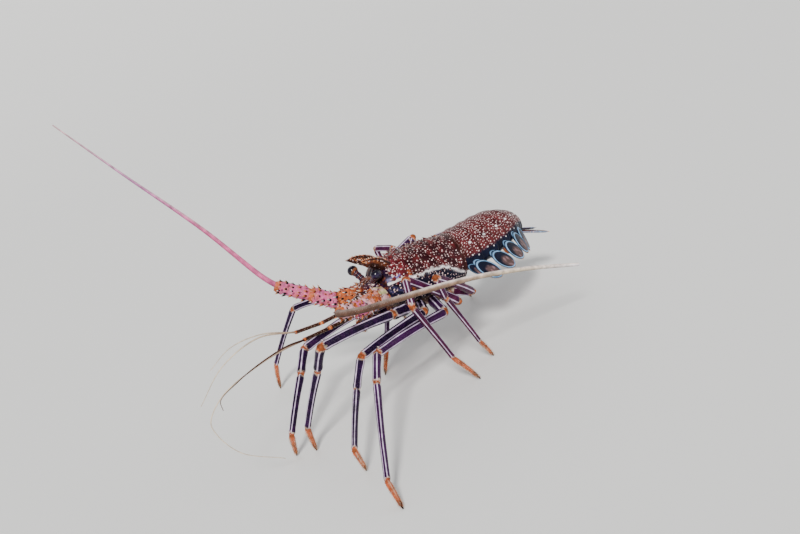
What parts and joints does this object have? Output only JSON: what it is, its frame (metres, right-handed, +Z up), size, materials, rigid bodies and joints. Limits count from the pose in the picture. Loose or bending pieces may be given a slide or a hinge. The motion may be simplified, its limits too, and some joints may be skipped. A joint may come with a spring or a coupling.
{
  "type": "spiny lobster",
  "caption": "Life-size spiny lobster standing on its legs, spiny red shell, striped dark legs, long spiny feelers.",
  "frame": {"origin": "centre of the bounding box in plan, at floor level under the feet", "axes": "+X from the head to the tail, +Y to the animal's right side, +Z up"},
  "size_m": [0.4414, 0.3619, 0.3763],
  "materials": {
    "shell_red": "satin shell",
    "tail_brown": "satin shell",
    "leg_purple": "satin shell",
    "feeler_pink": "matt shell",
    "feeler_tan": "matt shell",
    "feeler_pale": "matt shell",
    "belly_orange": "matt shell",
    "fin_red": "satin membrane",
    "eye_dark": "wet gloss"
  },
  "bodies": {
    "root": {"carapace": "shell_red", "head_front": "shell_red", "eye_left": "eye_dark", "eye_right": "eye_dark", "sternum": "belly_orange", "antenna_left_base": "belly_orange", "antenna_left_middle": "belly_orange", "antenna_left_end": "belly_orange", "antenna_left_whip": "feeler_tan", "antenna_right_base": "feeler_pink", "antenna_right_middle": "feeler_pink", "antenna_right_end": "feeler_pink", "antenna_right_whip": "feeler_pink", "antennule_left": "belly_orange", "antennule_left_outer": "feeler_pale", "antennule_left_inner": "feeler_pale", "antennule_right": "belly_orange", "antennule_right_outer": "feeler_pale", "antennule_right_inner": "feeler_pale", "mouth_leg_left": "leg_purple", "mouth_leg_right": "leg_purple", "leg_left_1_upper": "leg_purple", "leg_left_1_lower": "leg_purple", "leg_left_2_upper": "leg_purple", "leg_left_2_lower": "leg_purple", "leg_left_3_upper": "leg_purple", "leg_left_3_lower": "leg_purple", "leg_left_4_upper": "leg_purple", "leg_left_4_lower": "leg_purple", "leg_left_5_upper": "leg_purple", "leg_left_5_lower": "leg_purple", "leg_right_1_upper": "leg_purple", "leg_right_1_lower": "leg_purple", "leg_right_2_upper": "leg_purple", "leg_right_2_lower": "leg_purple", "leg_right_3_upper": "leg_purple", "leg_right_3_lower": "leg_purple", "leg_right_4_upper": "leg_purple", "leg_right_4_lower": "leg_purple", "leg_right_5_upper": "leg_purple", "leg_right_5_lower": "leg_purple", "tail_ring_1": "tail_brown", "tail_ring_2": "tail_brown", "tail_ring_3": "tail_brown", "tail_ring_4": "tail_brown", "tail_ring_5": "tail_brown", "tail_ring_6": "tail_brown", "swimmeret_left_2": "belly_orange", "swimmeret_right_2": "belly_orange", "swimmeret_left_3": "belly_orange", "swimmeret_right_3": "belly_orange", "swimmeret_left_4": "belly_orange", "swimmeret_right_4": "belly_orange", "swimmeret_left_5": "belly_orange", "swimmeret_right_5": "belly_orange", "telson": "fin_red", "tail_fin_inner_left": "fin_red", "tail_fin_inner_right": "fin_red", "tail_fin_outer_left": "fin_red", "tail_fin_outer_right": "fin_red"}
  },
  "joints": []
}
